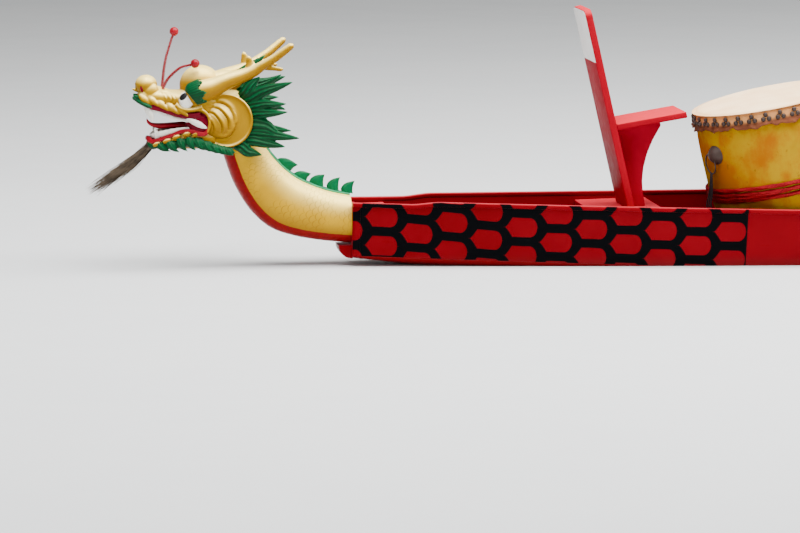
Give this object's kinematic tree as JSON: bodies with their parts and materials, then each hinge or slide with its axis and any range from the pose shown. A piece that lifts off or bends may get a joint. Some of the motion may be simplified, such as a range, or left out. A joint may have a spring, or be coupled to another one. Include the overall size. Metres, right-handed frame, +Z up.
{
  "type": "dragon boat",
  "caption": "Open wooden racing boat with a carved dragon head and tail, cross benches, a leaning drum, a drummer's seat and a steering oar that yaws, lifts and turns in its lock.",
  "frame": {"origin": "on the centreline amidships, at the waterline", "axes": "+X towards the bow, +Y to port, +Z up"},
  "size_m": [13.9774, 1.3191, 1.3247],
  "materials": {
    "red_paint": "gloss paint on wood",
    "gold_paint": "gold paint on carved wood",
    "green_paint": "green paint on carved wood",
    "white_paint": "white paint on carved wood",
    "yellow_lacquer": "worn yellow lacquer",
    "drum_skin": "stretched hide",
    "red_rope": "twisted rope",
    "hair": "coarse hair",
    "bare_wood": "varnished wood",
    "steel": "brushed steel"
  },
  "bodies": {
    "hull": {"hull_bottom_fore": "red_paint", "hull_bottom_mid_fore": "red_paint", "hull_bottom_mid_aft": "red_paint", "hull_bottom_aft": "red_paint", "hull_side_port_fore": "red_paint", "hull_side_port_mid_fore": "red_paint", "hull_side_port_mid_aft": "red_paint", "hull_side_port_aft": "red_paint", "hull_side_starboard_fore": "red_paint", "hull_side_starboard_mid_fore": "red_paint", "hull_side_starboard_mid_aft": "red_paint", "hull_side_starboard_aft": "red_paint", "bow_board": "red_paint", "stern_board": "red_paint", "rail_port": "red_paint", "rail_starboard": "red_paint", "foredeck": "red_paint", "aft_deck": "red_paint", "benches_fore": "red_paint", "benches_aft": "red_paint", "steering_platform": "bare_wood", "seat_thwart": "red_paint", "drummer_backboard": "red_paint", "drummer_seat_board": "red_paint", "drummer_seat_web": "red_paint", "drum_barrel": "yellow_lacquer", "drum_head_top": "drum_skin", "drum_head_bottom": "drum_skin", "drum_rope": "red_rope", "drum_stand": "bare_wood", "neck": "gold_paint", "neck_crest": "green_paint", "head_carving": "gold_paint", "lower_jaw": "gold_paint", "tongue": "red_paint", "upper_teeth": "white_paint", "lower_teeth": "white_paint", "horn_port": "gold_paint", "horn_starboard": "gold_paint", "eye_port": "white_paint", "eye_starboard": "white_paint", "mane_port": "green_paint", "mane_starboard": "green_paint", "mane_top": "green_paint", "feeler_port": "red_paint", "feeler_starboard": "red_paint", "jaw_frill": "green_paint", "moustache": "green_paint", "beard": "hair", "tail": "gold_paint", "tail_crest": "green_paint", "tail_flames": "green_paint", "oar_beam": "red_paint"},
    "oarlock": {"oarlock_fork": "steel"},
    "ring": {"oarlock_ring": "steel"},
    "oar": {"oar_shaft": "bare_wood", "oar_blade": "bare_wood"}
  },
  "joints": [
    {"name": "oar_swing", "type": "hinge", "parent": "hull", "child": "oarlock", "pos_m": [-5.25, 0.35, 0.36], "axis": [0, 0, 1], "range_deg": [-45, 16]},
    {"name": "oar_lift", "type": "hinge", "parent": "oarlock", "child": "ring", "pos_m": [-5.25, 0.35, 0.36], "axis": [0.2079, 0.9781, 0], "range_deg": [-8, 17]},
    {"name": "oar_feather", "type": "hinge", "parent": "ring", "child": "oar", "pos_m": [-5.25, 0.35, 0.36], "axis": [0.9354, -0.1988, 0.2924], "range_deg": [-90, 90]}
  ]
}
